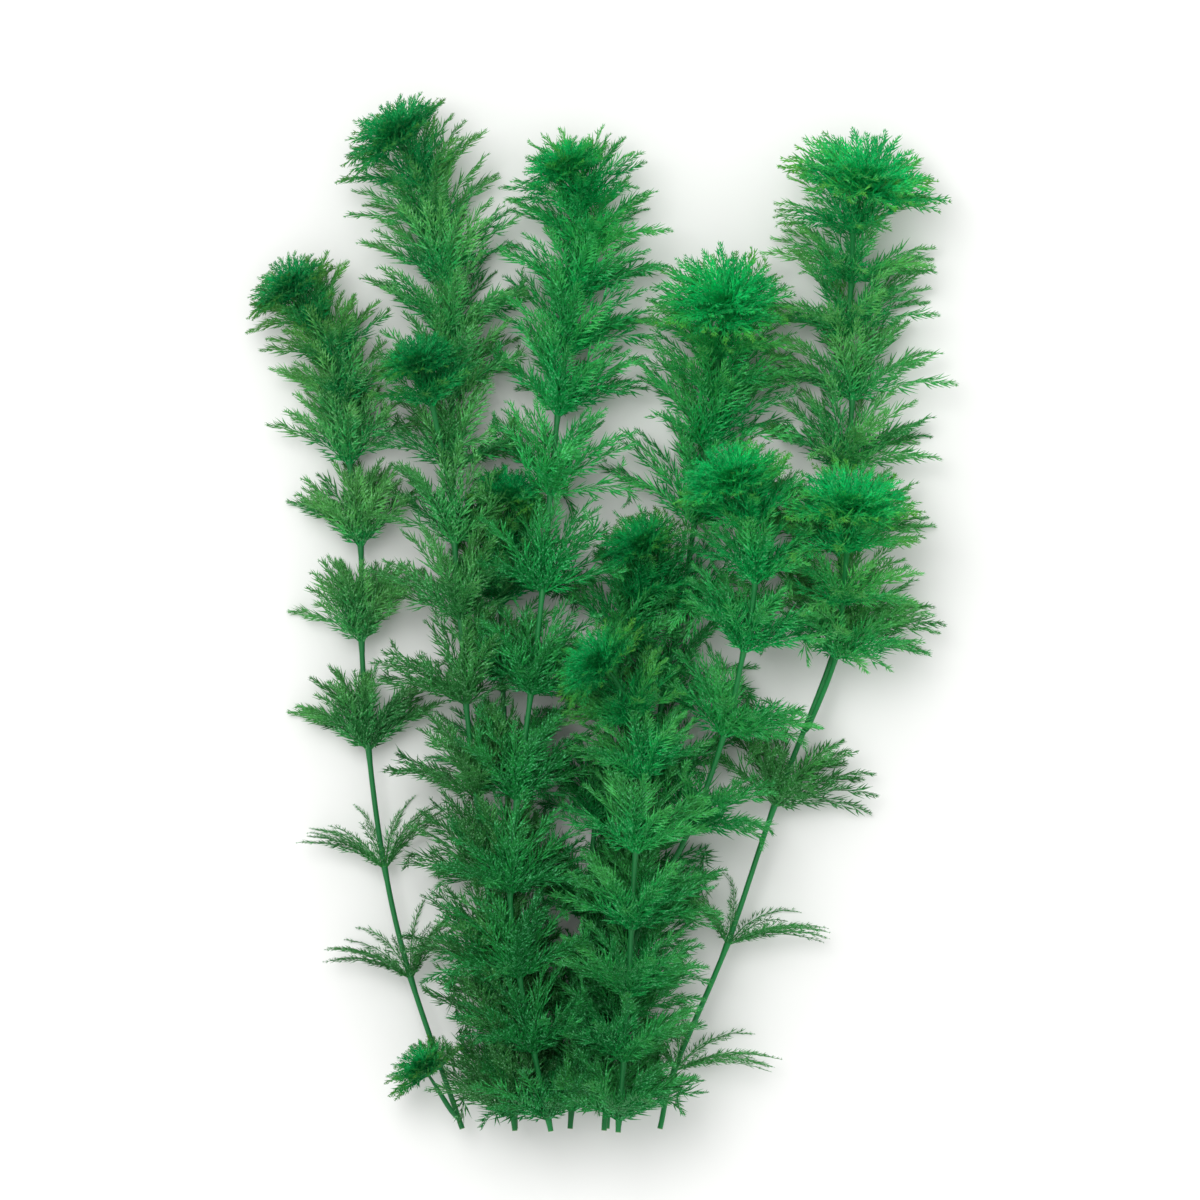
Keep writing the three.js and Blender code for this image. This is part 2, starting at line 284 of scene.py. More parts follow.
# The midrib: its steps, its sides, how much thinner its end is, and how much of it is bare
MIDRIB_STEPS = 6
MIDRIB_SIDES = 3
MIDRIB_TAPER = 0.72
BARE_BASE = 0.04

# How the segments stand on a leaf, in radians: how far they roll round it, how far they open at
# its base, how much less at its end and by how much that differs; and the range of their lengths
ROLL = 1.1
OPENING = 0.72
CLOSING = 0.42
OPENING_SPREAD = 0.12
SEGMENT_RANGE = (0.78, 1.16)

# How gently needles are pressed onto the floor, in square metres
PRESS_SOFTNESS = 1.2e-6

# Scales of the noises in the leaves' green: clouds, flecks, a fine painted sparkle of light and
# shade, and pale specks of painted highlight
LEAF_NOISES = (26.0, 420.0, 900.0, 850.0)

# How fine the streaks of a stem are along X, Y and Z
STEM_STREAKS = (1400.0, 60.0, 1400.0)

# The key light's size and place and the middle of the view, in metres
KEY_SIZE = 1.6
KEY_PLACE = (-0.6, 0.8, 2.7)
VIEW_MIDDLE = (0.0025, 0.006, 0.035)


# Sizes and colours that a user may change

def length(name, description, default):
    return bpy.props.FloatProperty(name=name, description=description, default=default, min=0.0,
                                   unit="LENGTH", precision=4)


def colour(name, description, default):
    return bpy.props.FloatVectorProperty(name=name, description=description, default=default,
                                         size=3, min=0.0, max=1.0, subtype="COLOR")


class AmbuliaStemSizes(bpy.types.PropertyGroup):
    """Sizes of the stems"""

    radius: length("Radius", "Half the thickness of a stem", 1.35 * MM)
    swelling: bpy.props.FloatProperty(
        name="Swelling", description="How much thicker a stem is at its nodes, as a share",
        default=0.25, min=0.0, max=1.0, subtype="FACTOR")
    sides: bpy.props.IntProperty(
        name="Sides", description="Corners of a stem's round section", default=10, min=3, max=32)


class AmbuliaLeafSizes(bpy.types.PropertyGroup):
    """Sizes of the finely divided leaves"""

    leaves: bpy.props.IntProperty(
        name="Leaves in a whorl", description="How many leaves stand round a node", default=23,
        min=3, max=40)
    lower_leaves: bpy.props.IntProperty(
        name="Leaves in a lower whorl", description="How many leaves stand round a lower node",
        default=21, min=3, max=40)
    pairs: bpy.props.IntProperty(
        name="Segment pairs", description="Pairs of divided segments along a leaf of a whorl",
        default=22, min=4, max=40)
    crown_pairs: bpy.props.IntProperty(
        name="Crown segment pairs", description="Pairs of divided segments along a crown's leaf",
        default=14, min=4, max=40)
    segment: length("Segment", "Length of the longest segment of a full-grown leaf", 13.0 * MM)
    crown_segment: length("Crown segment", "Length of the longest segment of a crown's leaf",
                          10.0 * MM)
    needle: length("Needle width", "Width of one needle of a segment", 1.0 * MM)
    midrib: length("Midrib radius", "Half the thickness of a leaf's midrib at its base",
                   0.45 * MM)
    overlap: length("Overlap", "How far leaves of neighbouring shoots may mingle", 5.0 * MM)
    seed: bpy.props.IntProperty(
        name="Seed", description="Start of the fixed variation of the leaves", default=7, min=0)


class AmbuliaColours(bpy.types.PropertyGroup):
    """Colours of the plant"""

    heart: colour("Young leaf base", "Young leaf near the stem", (0.001, 0.41, 0.10))
    rim: colour("Young leaf tip", "Young leaf at its tip", (0.080, 0.305, 0.034))
    inner: colour("Leaf base", "Full-grown leaf near the stem", (0.004, 0.37, 0.088))
    outer: colour("Leaf tip", "Full-grown leaf at its tip", (0.112, 0.395, 0.092))
    # The old leaves' colour is partly their own duller green and partly painted shade deep in the
    # bunch
    old: colour("Old leaf", "Leaves low on the shoot", (0.044, 0.218, 0.046))
    deep: colour("Deep tint", "Tint of the shoots of a deeper green", (0.20, 1.0, 0.85))
    # Painted highlight: the colour of pale specks that stand in for glints of light on the needles
    painted_glint: colour("Speck", "Pale specks on the needles", (0.26, 0.60, 0.29))
    stem: colour("Stem", "Outside of a stem", (0.010, 0.19, 0.045))
    pith: colour("Cut end", "Pale inside of a stem at its cut end", (0.20, 0.38, 0.14))


class AmbuliaStageSizes(bpy.types.PropertyGroup):
    """Sizes and colours of the floor, the lights and the camera"""

    floor: colour("Floor", "Plain pale floor", (0.86, 0.86, 0.85))
    floor_size: length("Floor size", "Side of the square floor", 6.0)
    view_width: length("View width", "What the camera sees across at the bunch", 0.6)
    lens: bpy.props.FloatProperty(
        name="Lens", description="Focal length of the camera, in millimetres", default=400.0,
        min=20.0)
    key_power: bpy.props.FloatProperty(
        name="Key light", description="Power of the large soft light", default=38.0, min=0.0)
    sky: bpy.props.FloatProperty(
        name="Sky light", description="Strength of the even light from all round", default=0.95,
        min=0.0)


GROUPS = {
    "ambulia_stems": AmbuliaStemSizes,
    "ambulia_leaves": AmbuliaLeafSizes,
    "ambulia_colours": AmbuliaColours,
    "ambulia_stage": AmbuliaStageSizes,
}


# The course of stems and leaves

def smooth_course(points, per_span):
    """A smooth line through the points, as points close together."""
    points = np.array(points, float)
    around = np.vstack([2 * points[0] - points[1], points, 2 * points[-1] - points[-2]])
    t = np.linspace(0, 1, per_span, endpoint=False)[:, None]
    spans = []
    for a, b, c, d in zip(around, around[1:], around[2:], around[3:]):
        spans.append(b + 0.5 * t * (c - a + t * (2 * a - 5 * b + 4 * c - d
                                                 + t * (3 * b - a - 3 * c + d))))
    return np.vstack([*spans, points[-1:]])


def crossing(line, y):
    """Where a line of points, from the tip down, crosses the places y along Y."""
    return np.stack([np.interp(y, line[::-1, 1], line[::-1, i]) for i in range(3)], axis=-1)


def unit(vectors):
    """The vectors at length one."""
    return vectors / np.maximum(np.linalg.norm(vectors, axis=-1, keepdims=True), 1e-9)


def chance(seed):
    """Fixed values from 0 to 1 for seeds, in place of random ones."""
    value = np.sin(np.asarray(seed, float) * 12.9898) * 43758.5453
    return value - np.floor(value)


def lay_out(shoots):
    """Gives each shoot its line: tip, neck, nodes and foot, straight between them."""
    for shoot in shoots:
        course = smooth_course(shoot["path"], PATH_STEPS)
        reach = np.r_[0, np.cumsum(np.linalg.norm(np.diff(course, axis=0), axis=1))]
        neck = np.array([np.interp(NECK, reach, course[:, i]) for i in range(3)])
        nodes = crossing(course, np.array(shoot["nodes"], float))
        shoot["line"] = np.vstack([course[:1], neck, nodes.reshape(-1, 3), course[-1:]])


lay_out(SHOOTS)


def stem_at(shoot, y):
    """Where a shoot crosses the places y along Y, and at which of them it is there at all."""
    tip, neck = shoot["line"][:2]
    point = crossing(shoot["line"], y)
    above = y > tip[1]
    climb = (tip[1] - y[above]) / (tip[1] - neck[1])
    point[above] = tip + (neck - tip) * climb[:, None]
    there = y <= tip[1] + CROWN_REACH
    if "parent" in shoot:
        there &= y >= shoot["line"][-1, 1]
    return point, there


def forked(shoot, other, y):
    """Whether two shoots part at a fork so near to y that their leaves mingle there."""
    side = other if other.get("parent") == shoot["name"] else shoot
    main = shoot if side is other else other
    return (side.get("parent") == main["name"]) & (y < side["line"][-1, 1] + FORK_HEIGHT)


def keep_room(points, shoot, overlap):
    """Keeps points of a shoot above the floor and near their own side of each other stem."""
    y = points[:, 1].copy()
    own, mine = stem_at(shoot, y)
    near = []
    for other in SHOOTS:
        if other is not shoot:
            point, there = stem_at(other, y)
            near.append((point, mine & there & ~forked(shoot, other, y)))
    points = points.copy()
    for _ in range(ROOM_PASSES):
        for point, held in near:
            away = unit((own - point) * (1, 0, 1))
            inside = ((points - (own + point) / 2) * away).sum(axis=1) + overlap
            push = held & (inside < 0)
            points[push] -= away[push] * inside[push, None]
        points[:, 2] = np.maximum(points[:, 2], FLOOR_GAP)
    return points


def leaf_courses(shoot, starts, axes, outs, lengths, angles, arch, overlap):
    """Courses of leaves that arch out from the stem and lie along whatever stops them."""
    step = (lengths / LEAF_STEPS)[:, None]
    course = [starts]
    for i in range(LEAF_STEPS):
        bend = np.radians(angles - arch + 2 * arch * (i + 0.5) / LEAF_STEPS)[:, None]
        aim = course[-1] + step * (axes * np.cos(bend) + outs * np.sin(bend))
        ahead = unit(keep_room(aim, shoot, overlap) - course[-1])
        course.append(keep_room(course[-1] + step * ahead, shoot, overlap))
    return np.stack(course, axis=1)


def spokes(axis, count, turn, gather):
    """Directions round a stem, square to its axis and gathered towards its sides."""
    across = unit(np.cross((0, 0, 1), axis))
    upward = np.cross(axis, across)
    angle = (2 * math.pi * (np.arange(count) + turn) / count)[:, None]
    angle = angle - gather / 2 * np.sin(2 * angle)
    return across * np.cos(angle) + upward * np.sin(angle)


def growth(line, i):
    """The stem's direction towards the tip at a point of its line."""
    return unit(line[i - 1] - line[min(i + 1, len(line) - 1)])


class Leaves:
    """Courses of leaves with what the needles and the material need to know of each."""

    def __init__(self):
        self.parts = []

    def add(self, shoot, centre, axis, spec, overlap):
        """A ring of leaves round an axis; each share added to the ids is a draw of its own."""
        count = spec["count"]
        ids = spec["seed"] + np.arange(count)
        outs = spokes(axis, count, TURN_SPREAD * (chance(ids + 0.5) - 0.5), spec["gather"])
        lengths = spec["length"] * (1 + LENGTH_SPREAD * (chance(ids) - 0.5))
        angles = spec["angle"] + spec["fan"] * (chance(ids + 0.25) - spec["lean"])
        angles = angles - spec["lift"] * np.clip(outs[:, 2], 0, 1)
        axes = np.repeat(axis[None], count, axis=0)
        course = leaf_courses(shoot, centre + outs * spec["start"], axes, outs, lengths, angles,
                              spec["arch"], overlap)
        ahead = unit(np.gradient(course, axis=1))
        side = np.cross(axes, outs)[:, None, :] * np.ones_like(course)
        side = unit(side - ahead * (side * ahead).sum(axis=2, keepdims=True))
        facts = {
            "along": np.linspace(0, 1, LEAF_STEPS + 1),
            "ripe": np.linspace(0, spec["ripe"], LEAF_STEPS + 1),
            "size": spec["size"] * lengths[:, None],
            "tone": chance(ids + 0.75)[:, None],
            "age": spec["age"],
            "bright": shoot["bright"],
            "deep": shoot["deep"],
        }
        facts = {key: np.broadcast_to(values, course.shape[:2]) for key, values in facts.items()}
        self.parts.append((course, {"ahead": ahead, "side": side, **facts}))

    def mesh(self, name):
        """The courses as lines of edges, with the facts as attributes of their points."""
        points = np.concatenate([course.reshape(-1, 3) for course, _ in self.parts]) * MM
        count = LEAF_STEPS + 1
        ids = np.arange(len(points)).reshape(-1, count)
        edges = np.stack([ids[:, :-1], ids[:, 1:]], axis=-1).reshape(-1, 2)
        mesh = bpy.data.meshes.new(name)
        mesh.from_pydata(points, edges, [])
        for key in self.parts[0][1]:
            values = np.concatenate([facts[key].reshape(len(facts[key]) * count, -1)
                                     for _, facts in self.parts])
            kind, slot = ("FLOAT_VECTOR", "vector") if values.shape[1] == 3 else ("FLOAT", "value")
            made = mesh.attributes.new(key, kind, "POINT")
            made.data.foreach_set(slot, values.ravel())
        return mesh


def seed_of(shoot, ring):
    """The first seed of a ring of leaves, counted from the shoot's topmost whorl."""
    return SHOOT_SEEDS * SHOOTS.index(shoot) + RING_SEEDS * ring


def whorl_leaves(leaves, shoot, index, sizes):
    """Adds the leaves at one node, which lengthen and change their spread down the stem."""
    line = shoot["line"]
    place = index + 2  # the tip and the neck come first
    below = line[0, 1] - shoot["nodes"][index]
    grown = min(below / FULL_GROWN_AT, 1)
    age = min(below / OLD_AT, 1)
    young, old = shoot["spread"]
    angle = young + (old - young) * age
    slender = index >= len(shoot["nodes"]) - shoot.get("slender", 0)
    free = index < shoot["free"]
    if slender:
        fan, lean, angle = SLENDER_FAN, OLD_LEAN, angle + SLENDER_OUT
    elif free:
        fan, lean = FREE_FAN, YOUNG_LEAN
    elif line[place, 1] < LEAFY_FOOT:
        fan, lean = LOWER_FAN, FOOT_LEAN
    else:
        fan, lean = shoot.get("loose", LOWER_FAN), YOUNG_LEAN if grown < 1 else OLD_LEAN
    spec = {
        "count": sizes.leaves if free else sizes.lower_leaves + ("loose" in shoot),
        "seed": seed_of(shoot, index),
        "start": WHORL_START,
        "length": shoot["leaf"] * (YOUNG_SHARE + (1 - YOUNG_SHARE) * grown),
        "angle": angle,
        "size": sizes.segment / MM / shoot["leaf"] * (SLENDER_WIDTH if slender else 1),
        "fan": fan,
        "lean": lean,
        "lift": 0,
        "arch": ARCH,
        "gather": SLENDER_GATHER if slender else GATHER,
        "ripe": 1.0,
        "age": age,
    }
    leaves.add(shoot, line[place], growth(line, place), spec, sizes.overlap / MM)


def crown_leaves(leaves, shoot, sizes):
    """Adds the tiers of young leaves round the growing tip."""
    tip, neck = shoot["line"][:2]
    axis = unit(tip - neck)
    for tier, (count, share, angle, rise) in enumerate(CROWN_TIERS):
        spec = {
            "count": count,
            "seed": seed_of(shoot, len(shoot["nodes"]) + tier),
            "start": CROWN_START,
            "length": shoot["crown"] * share,
            "angle": angle,
            "size": sizes.crown_segment / MM / CROWN_LEAF / share ** 0.5,
            "fan": CROWN_FAN,
            "lean": 0.5,
            "lift": CROWN_LIFT * share,
            "arch": CROWN_ARCH,
            "gather": 0,
            "ripe": share ** CROWN_RIPENING,
            "age": 0.0,
        }
        leaves.add(shoot, tip + axis * rise, axis, spec, sizes.overlap / MM)


# Node trees written as calls and expressions

class Value:
    """A socket in an expression: each operator adds its Math node."""

    def __init__(self, tree, socket):
        self.tree = tree
        self.socket = socket

    def __add__(self, other):
        return self.tree.maths("ADD", self, other)

    def __sub__(self, other):
        return self.tree.maths("SUBTRACT", self, other)

    def __rsub__(self, other):
        return self.tree.maths("SUBTRACT", other, self)

    def __mul__(self, other):
        return self.tree.maths("MULTIPLY", self, other)

    __radd__ = __add__


class Tree:
    """A node tree of a material, of the sky or of Geometry Nodes."""

    def __init__(self, tree):
        self.tree = tree

    def node(self, kind, settings, sockets, output=0):
        """Adds a node, with its settings first and then its sockets' values or links."""
        made = self.tree.nodes.new(kind)
        for name, value in settings.items():
            if name == "curve":
                points = made.mapping.curves[0].points
                points[0].location = value[0]
                points[1].location = value[-1]
                for place in value[1:-1]:
                    points.new(*place)
                made.mapping.update()
            else:
                setattr(made, name, value)
        for key, value in sockets.items():
            for part in value if isinstance(value, list) else [value]:
                if isinstance(part, Value):
                    self.tree.links.new(part.socket, made.inputs[key])
                else:
                    made.inputs[key].default_value = part
        return Value(self, made.outputs[output]) if made.outputs else made

    def maths(self, operation, *values, clamp=False):
        settings = {"operation": operation, "use_clamp": clamp}
        return self.node("ShaderNodeMath", settings, dict(enumerate(values)))

    def vectors(self, operation, *values):
        return self.node("ShaderNodeVectorMath", {"operation": operation}, dict(enumerate(values)))

    def scaled(self, vector, factor):
        return self.node("ShaderNodeVectorMath", {"operation": "SCALE"}, {0: vector, 3: factor})

    def clamped(self, value):
        return self.maths("ADD", value, 0.0, clamp=True)

    def noise(self, place, scale, detail):
        sockets = {"Vector": place, "Scale": scale, "Detail": detail}
        return self.node("ShaderNodeTexNoise", {}, sockets)

    def mix(self, factor, a, b, blend="MIX"):
        """A blend of two colours."""
        settings = {"data_type": "RGBA", "blend_type": blend}
        return self.node("ShaderNodeMix", settings, {0: factor, 6: a, 7: b}, output=2)


def rgb(values):
    return (*values, 1.0)


# Materials

def new_material(name):
    """A material and its tree, which is still empty."""
    material = bpy.data.materials.new(name)
    material.use_nodes = True
    material.node_tree.nodes.clear()
    return material, Tree(material.node_tree)


def surface(tree, sockets):
    """Ends a material's tree in its main shader."""
    shader = tree.node("ShaderNodeBsdfPrincipled", {}, sockets)
    tree.node("ShaderNodeOutputMaterial", {}, {"Surface": shader})


def attribute(tree, name):
    """A named attribute of the surface, as a number."""
    return tree.node("ShaderNodeAttribute", {"attribute_name": name}, {}, output=2)


def leaf_material(colours):
    """Green that turns along the leaf from base to tip and out along each needle."""
    material, tree = new_material("ambulia_leaf")
    reach, out = attribute(tree, "ripe"), attribute(tree, "out")
    tone, age = attribute(tree, "tone"), attribute(tree, "age")
    bright, deep = attribute(tree, "bright"), attribute(tree, "deep")
    place = tree.node("ShaderNodeTexCoord", {}, {}, output=3)
    cloud, fleck, sparkle_noise, glint_noise = (tree.noise(place, scale, 1.0) for scale in LEAF_NOISES)
    young = tree.clamped(1.0 - age * 4.5)
    # Ripe towards the ends of leaf and needle, later on young leaves, and varied by the noises
    ripe = tree.clamped((reach - 0.1 - young * 0.32) * (1.2 + young * 0.5) + (out - 0.4) * 0.4
                        + (tone - 0.5) * 0.4 + (fleck - 0.5) * 1.1 + (cloud - 0.5) * 2.2)
    base = tree.mix(young, rgb(colours.inner), rgb(colours.heart))
    tip = tree.mix(young, rgb(colours.outer), rgb(colours.rim))
    green = tree.mix(ripe, base, tip)
    # Old leaves low on the shoot take the old colour, which is darker partly as painted shade deep
    # in the bunch
    green = tree.mix(tree.clamped(age * 0.9), green, rgb(colours.old))
    deepened = deep * (1.0 - ripe * (0.25 + young * 0.5))
    green = tree.mix(deepened, green, rgb(colours.deep), "MULTIPLY")
    # Painted light and shade by shoot, leaf and noises, with a fine painted sparkle; painted shade
    # darkens the hearts of dull shoots and the oldest leaves at the foot
    light = ((0.77 + bright * 0.35) * (0.75 + tone * 0.5) * (0.65 + cloud * 0.7)
             * (0.2 + sparkle_noise * 1.6) * (1.0 - young * (1.0 - bright) * 0.45)
             * (1.0 - tree.clamped(age * 2.5 - 1.5) * 0.14))
    # Painted highlights: pale specks where light would glint on the needles, fewer on young leaves
    glint_mask = tree.clamped((glint_noise - 0.57) * 16.0) * (0.52 + bright * 0.1 - young * 0.3)
    painted_glint = tree.mix(deep * 0.6, rgb(colours.painted_glint), rgb(colours.deep), "MULTIPLY")
    surface(tree, {
        "Base Color": tree.mix(glint_mask, tree.scaled(green, light), painted_glint),
        "Roughness": 0.6 - out * 0.12,
        "Specular IOR Level": 0.1,
    })
    return material


def stem_material(colours):
    """Smooth green stem with fine lengthwise streaks and a pale cut end."""
    material, tree = new_material("ambulia_stem_skin")
    place = tree.node("ShaderNodeTexCoord", {}, {}, output=3)
    streak = tree.noise(tree.vectors("MULTIPLY", place, STEM_STREAKS), 1.0, 3.0)
    cloud = tree.noise(place, 30.0, 2.0)
    cut, bright = attribute(tree, "cut"), attribute(tree, "bright")
    green = tree.mix(tree.clamped(cut), rgb(colours.stem), rgb(colours.pith))
    light = (0.7 + streak * 0.4) * (0.7 + cloud * 0.6) * (0.75 + bright * 0.4)
    bump = tree.node("ShaderNodeBump", {}, {"Strength": 0.25, "Distance": 0.0002,
                                            "Height": streak})
    surface(tree, {
        "Base Color": tree.scaled(green, light),
        "Roughness": 0.4 + cloud * 0.2,
        "Specular IOR Level": 0.25,
        "Normal": bump,
    })
    return material


# Geometry Nodes

def new_tree(name, inputs):
    """A Geometry Nodes tree with its named inputs, and the values of those inputs."""
    group = bpy.data.node_groups.new(name, "GeometryNodeTree")
    interface = group.interface
    interface.new_socket("Geometry", in_out="OUTPUT", socket_type="NodeSocketGeometry")
    interface.new_socket("Geometry", in_out="INPUT", socket_type="NodeSocketGeometry")
    for title, kind in inputs:
        interface.new_socket(title, in_out="INPUT", socket_type=kind)
    tree = Tree(group)
    source = group.nodes.new("NodeGroupInput")
    return tree, {socket.name: Value(tree, socket) for socket in source.outputs if socket.name}


def finish_tree(tree, geometry, material, smooth):
    """Ends a tree in plain mesh with its material."""
    shaded = tree.node("GeometryNodeSetShadeSmooth", {}, {0: geometry, "Shade Smooth": smooth})
    real = tree.node("GeometryNodeRealizeInstances", {}, {0: shaded})
    end = tree.node("GeometryNodeSetMaterial", {}, {0: real, "Material": material})
    tree.node("NodeGroupOutput", {}, {0: end})
    return tree.tree


def read(tree, name, kind="FLOAT"):
    """A named attribute of the points."""
    return tree.node("GeometryNodeInputNamedAttribute", {"data_type": kind}, {"Name": name})


def varied(tree, low, high, seed):
    """A value that differs from point to point, fixed by the seed."""
    number = tree.node("GeometryNodeInputIndex", {}, {})
    sockets = {2: low, 3: high, "ID": number, "Seed": seed}
    return tree.node("FunctionNodeRandomValue", {"data_type": "FLOAT"}, sockets, output=1)


def pressed(tree, geometry):
    """Presses what would reach below the floor flat onto it."""
    place = tree.node("GeometryNodeInputPosition", {}, {})
    height = tree.node("ShaderNodeSeparateXYZ", {}, {0: place}, output=2)
    raised = (height + tree.maths("SQRT", height * height + PRESS_SOFTNESS)) * 0.5
    offset = tree.node("ShaderNodeCombineXYZ", {}, {2: raised - height})
    return tree.node("GeometryNodeSetPosition", {}, {0: geometry, "Offset": offset})


def feather_tree():
    """Leaves: a thin midrib on each course, with divided segments along both its sides."""
    tree, given = new_tree("Feather leaves", [
        ("Segment", "NodeSocketObject"), ("Pairs", "NodeSocketInt"),
        ("Midrib radius", "NodeSocketFloat"), ("Seed", "NodeSocketInt"),
        ("Material", "NodeSocketMaterial"),
    ])
    courses = tree.node("GeometryNodeMeshToCurve", {}, {0: given["Geometry"]})
    along = read(tree, "along")
    ring = tree.node("GeometryNodeCurvePrimitiveCircle", {}, {"Resolution": MIDRIB_SIDES,
                                                             "Radius": 1.0})
    coarse = tree.node("GeometryNodeResampleCurve", {}, {0: courses, "Count": MIDRIB_STEPS})
    ribs = tree.node("GeometryNodeCurveToMesh", {}, {
        0: coarse, "Profile Curve": ring, "Fill Caps": True,
        "Scale": given["Midrib radius"] * (1.0 - along * MIDRIB_TAPER)})
    spots = tree.node("GeometryNodeResampleCurve", {}, {0: courses, "Count": given["Pairs"]})
    outline = tree.node("ShaderNodeFloatCurve", {"curve": LEAF_OUTLINE}, {"Value": along})
    segment = tree.node("GeometryNodeObjectInfo", {}, {"Object": given["Segment"]}, output=4)
    forward = read(tree, "ahead", "FLOAT_VECTOR")
    side = read(tree, "side", "FLOAT_VECTOR")
    face = tree.vectors("CROSS_PRODUCT", forward, side)
    grown = tree.node("FunctionNodeCompare", {"operation": "GREATER_THAN"},
                      {0: along, 1: BARE_BASE})
    parts = [ribs]
    for turn, sign in enumerate((1.0, -1.0)):
        seed = given["Seed"] + 7.0 * turn
        roll = varied(tree, -ROLL, ROLL, seed)
        open_by = (OPENING - along * CLOSING
                   + varied(tree, -OPENING_SPREAD, OPENING_SPREAD, seed + 1.0))
        outward = tree.vectors("ADD", tree.scaled(side, tree.maths("COSINE", roll) * sign),
                               tree.scaled(face, tree.maths("SINE", roll)))
        aim = tree.vectors("ADD", tree.scaled(forward, tree.maths("COSINE", open_by)),
                           tree.scaled(outward, tree.maths("SINE", open_by)))
        above = tree.scaled(tree.vectors("CROSS_PRODUCT", forward, outward), sign)
        turned = tree.node("FunctionNodeAxesToRotation",
                           {"primary_axis": "X", "secondary_axis": "Z"},
                           {"Primary Axis": aim, "Secondary Axis": above})
        share = outline * varied(tree, *SEGMENT_RANGE, seed + 2.0)
        full = read(tree, "size") * MM
        broad = full * (0.4 + share * 0.6)
        scale = tree.node("ShaderNodeCombineXYZ", {}, {0: full * share, 1: broad, 2: broad})
        parts.append(tree.node("GeometryNodeInstanceOnPoints", {}, {
            0: spots, "Selection": grown, "Instance": segment, "Rotation": turned,
            "Scale": scale}))
    joined = tree.node("GeometryNodeJoinGeometry", {}, {0: parts})
    real = tree.node("GeometryNodeRealizeInstances", {}, {0: joined})
    return finish_tree(tree, pressed(tree, real), given["Material"], False)


def stalk_tree():
    """Stems: a round tube on each course, as thick as its points say."""
    tree, given = new_tree("Round stems", [
        ("Radius", "NodeSocketFloat"), ("Sides", "NodeSocketInt"),
        ("Material", "NodeSocketMaterial"),
    ])
    courses = tree.node("GeometryNodeMeshToCurve", {}, {0: given["Geometry"]})
    ring = tree.node("GeometryNodeCurvePrimitiveCircle", {}, {"Resolution": given["Sides"],
                                                             "Radius": 1.0})
    tube = tree.node("GeometryNodeCurveToMesh", {}, {
        0: courses, "Profile Curve": ring, "Fill Caps": True,
        "Scale": given["Radius"] * read(tree, "girth")})
    return finish_tree(tree, tube, given["Material"], True)


def segment_mesh(name, width):
    """One forked segment along X, a unit long: slim ridged needles with both ends pointed."""
    points, faces, out = [], [], []
    for start, end in SEGMENT_NEEDLES:
        start, end = Vector(start), Vector(end)
        middle = start.lerp(end, NEEDLE_BELLY) - Vector((0, 0, width * NEEDLE_RIDGE))
        across = (end - start).cross(Vector((0, 0, 1))).normalized() * width / 2
        first = len(points)
        points += [start, end, middle + across, middle - across]
        out += [start.x, 1.0, (start.x + end.x) / 2, (start.x + end.x) / 2]
        faces += [tuple(first + i for i in face)
                  for face in ((0, 1, 2), (0, 3, 1), (0, 2, 3), (1, 3, 2))]
    mesh = bpy.data.meshes.new(name)
    mesh.from_pydata(points, [], faces)
    mesh.attributes.new("out", "FLOAT", "POINT").data.foreach_set("value", out)
    return mesh


def grow(name, mesh, tree, inputs):
    """Runs a Geometry Nodes tree on a mesh of courses and keeps the result as plain mesh."""
    piece = bpy.data.objects.new(name, mesh)
    bpy.context.scene.collection.objects.link(piece)
    modifier = piece.modifiers.new("Growth", "NODES")
    modifier.node_group = tree
    for item in tree.interface.items_tree:
        if item.in_out == "INPUT" and item.name in inputs:
            modifier[item.identifier] = inputs[item.name]
    graph = bpy.context.evaluated_depsgraph_get()
    grown = bpy.data.meshes.new_from_object(piece.evaluated_get(graph))
    piece.modifiers.remove(modifier)
    piece.data = grown
    bpy.data.meshes.remove(mesh)
    grown.name = name
    grown.materials.clear()
    grown.materials.append(inputs["Material"])
    for spent in ("ahead", "side", "size", "girth", "along", "material_index"):
        if spent in grown.attributes:
            grown.attributes.remove(grown.attributes[spent])
    if not grown.polygons:
        raise RuntimeError(f"{name} came out empty")
    return piece


def settle(piece, slot, *nodes):
    """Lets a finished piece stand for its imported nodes."""
    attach(piece, BODY)
    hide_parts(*nodes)


def stalk_mesh(shoot, sizes):
    """The course of a stem, with how thick it is and how bright."""
    line = shoot["line"]
    tip, neck = line[:2]
    bud = tip + unit(tip - neck) * BUD_HEIGHT
    if "parent" in shoot:
        parent = next(s for s in SHOOTS if s["name"] == shoot["parent"])
        root, _ = stem_at(parent, np.array([line[-1, 1] - ROOT_DEPTH]))
        line = np.vstack([line, root])
    course = smooth_course(np.vstack([bud, line]), STALK_STEPS)
    below = course[0, 1] - course[:, 1]
    girth = np.clip(TIP_GIRTH + below / GIRTH_RISE, TIP_GIRTH, 1.0)
    for node in shoot["line"][2:-1]:
        away = np.linalg.norm(course - node, axis=1)
        girth += sizes.swelling * np.exp(-(away / NODE_REACH) ** 2)
    cut = np.zeros(len(course))
    if "parent" not in shoot:
        end = unit(course[-1] - course[-2])
        course = np.insert(course, -1, course[-1] - end * CUT_DEPTH, axis=0)
        girth, cut = np.r_[girth, girth[-1]], np.r_[cut, 1.0]
    ids = np.arange(len(course))
    mesh = bpy.data.meshes.new(shoot["name"])
    mesh.from_pydata(course * MM, np.stack([ids[:-1], ids[1:]], axis=1), [])
    facts = {"girth": girth, "cut": cut, "bright": np.full(len(course), shoot["bright"])}
    for key, values in facts.items():
        mesh.attributes.new(key, "FLOAT", "POINT").data.foreach_set("value", values)
    return mesh


# Operators

